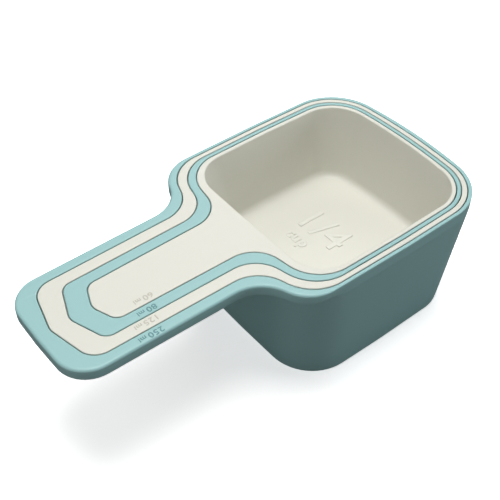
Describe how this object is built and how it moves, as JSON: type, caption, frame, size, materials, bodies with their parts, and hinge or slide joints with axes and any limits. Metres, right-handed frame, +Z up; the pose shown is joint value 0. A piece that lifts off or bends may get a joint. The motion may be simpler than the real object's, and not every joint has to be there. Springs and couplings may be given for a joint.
{
  "type": "measuring cup set",
  "caption": "Nested measuring cups with flush rims and flat tray-like handles, each cup lifting out of the next larger one.",
  "frame": {"origin": "centre of the largest cup's underside, which the set stands on", "axes": "+Z up out of the mouths, +X from the handles to the bowls' far end, the set symmetric about Y = 0"},
  "size_m": [0.1545, 0.079, 0.052],
  "materials": {
    "aqua_plastic": "satin moulded polypropylene, muted aqua",
    "cream_plastic": "satin moulded polypropylene, warm cream"
  },
  "bodies": {
    "cup_250": {"cup_250_ml": "aqua_plastic"},
    "cup_125": {"cup_125_ml": "cream_plastic"},
    "cup_80": {"cup_80_ml": "aqua_plastic"},
    "cup_60": {"cup_60_ml": "cream_plastic"}
  },
  "joints": [
    {"name": "lift_125_ml_cup", "type": "slide", "parent": "cup_250", "child": "cup_125", "axis": [0, 0, 1], "range_m": [0, 0.042]},
    {"name": "lift_80_ml_cup", "type": "slide", "parent": "cup_125", "child": "cup_80", "axis": [0, 0, 1], "range_m": [0, 0.04]},
    {"name": "lift_60_ml_cup", "type": "slide", "parent": "cup_80", "child": "cup_60", "axis": [0, 0, 1], "range_m": [0, 0.037]}
  ]
}
